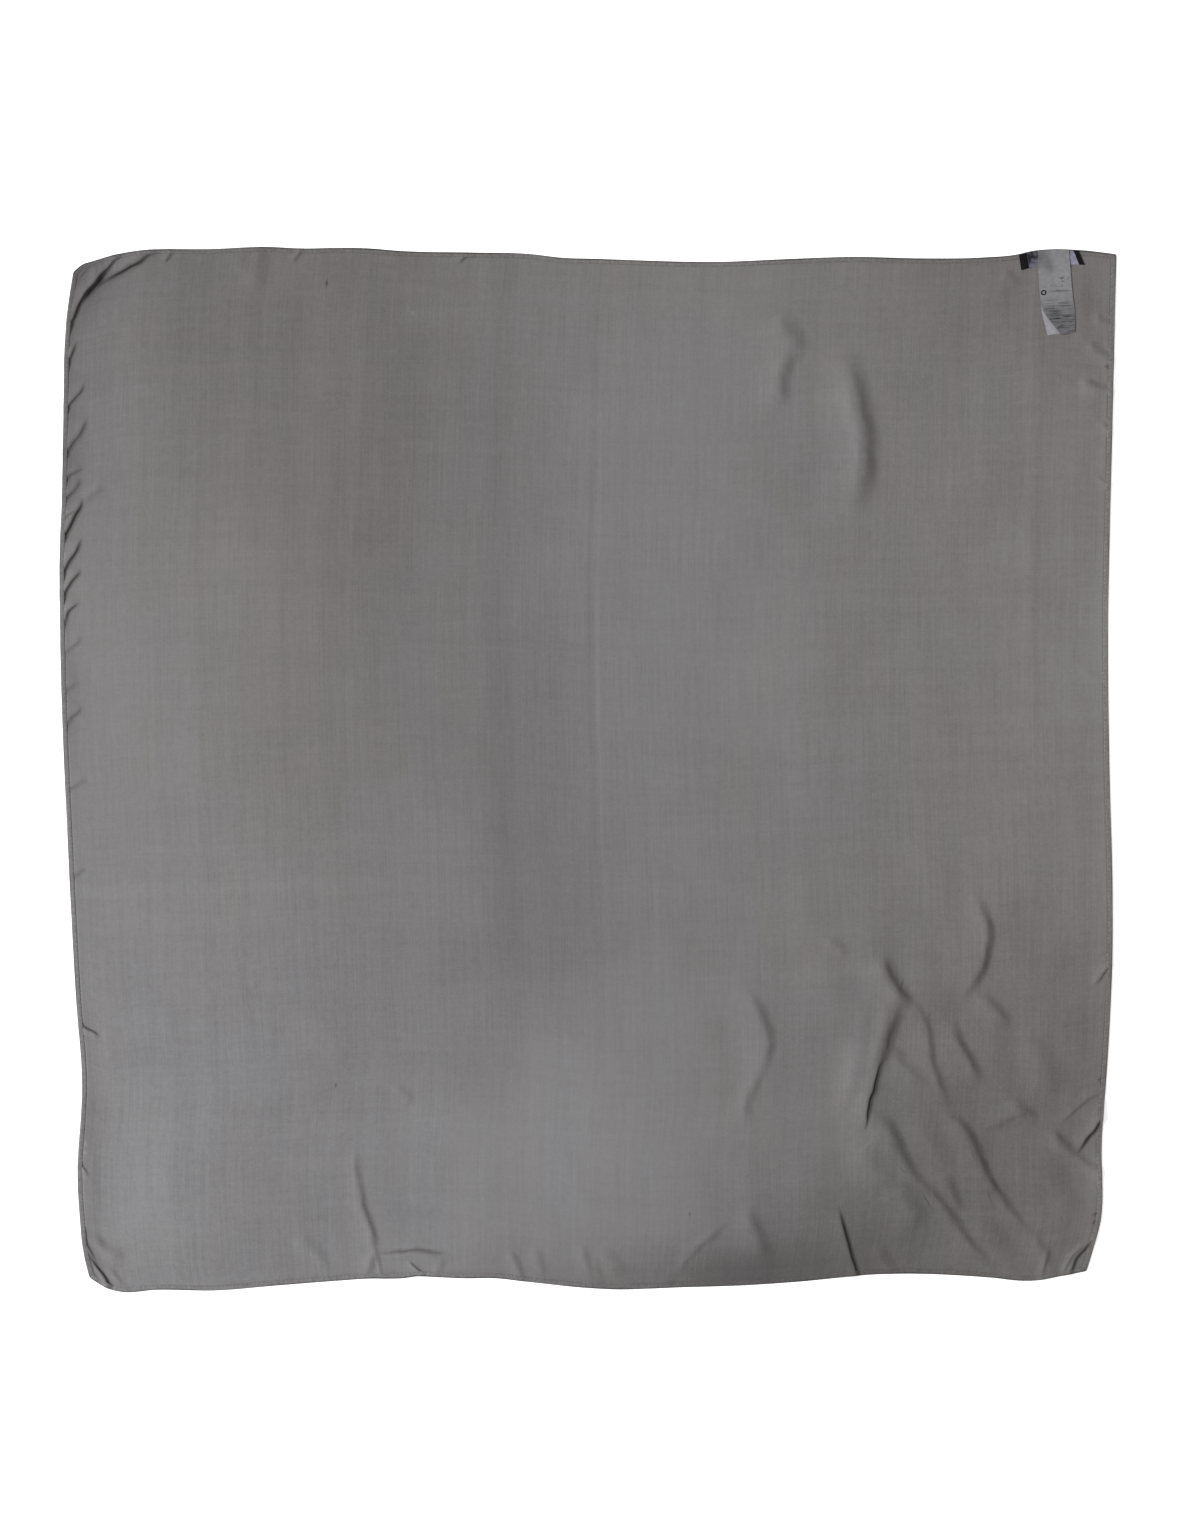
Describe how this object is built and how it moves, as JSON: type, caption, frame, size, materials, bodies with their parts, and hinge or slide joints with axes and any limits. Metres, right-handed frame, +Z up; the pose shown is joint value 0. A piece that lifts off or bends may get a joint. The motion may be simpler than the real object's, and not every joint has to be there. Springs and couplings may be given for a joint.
{
  "type": "neckerchief laid open and flat",
  "caption": "Square neckerchief of fine plain cloth, laid open and flat, with narrow stitched hems, small folds and sewn labels at one corner of the top edge.",
  "frame": {"origin": "under the middle of the cloth, on the surface that it lies on", "axes": "+Z up out of the cloth's face, +Y towards the edge with the labels, +X to the right seen from above"},
  "size_m": [0.9058, 0.8956, 0.008],
  "materials": {
    "cloth": "very fine plain weave, taupe grey, matt and slightly translucent",
    "hem": "the same cloth turned twice and stitched, darker because it is three layers thick",
    "black_tape": "black woven label tape, matt",
    "lilac_tape": "pale lilac grey woven field, left bare",
    "satin": "grey white label satin, soft sheen, slightly translucent",
    "satin_back": "unprinted label satin, nearly white, soft sheen"
  },
  "bodies": {
    "root": {"cloth_panel": "cloth", "hem_top": "hem", "hem_right": "hem", "hem_bottom": "hem", "hem_left": "hem", "woven_label_end_left": "black_tape", "woven_label_field": "lilac_tape", "woven_label_end_right": "black_tape", "care_label_back": "satin_back", "care_label_front": "satin"}
  },
  "joints": []
}
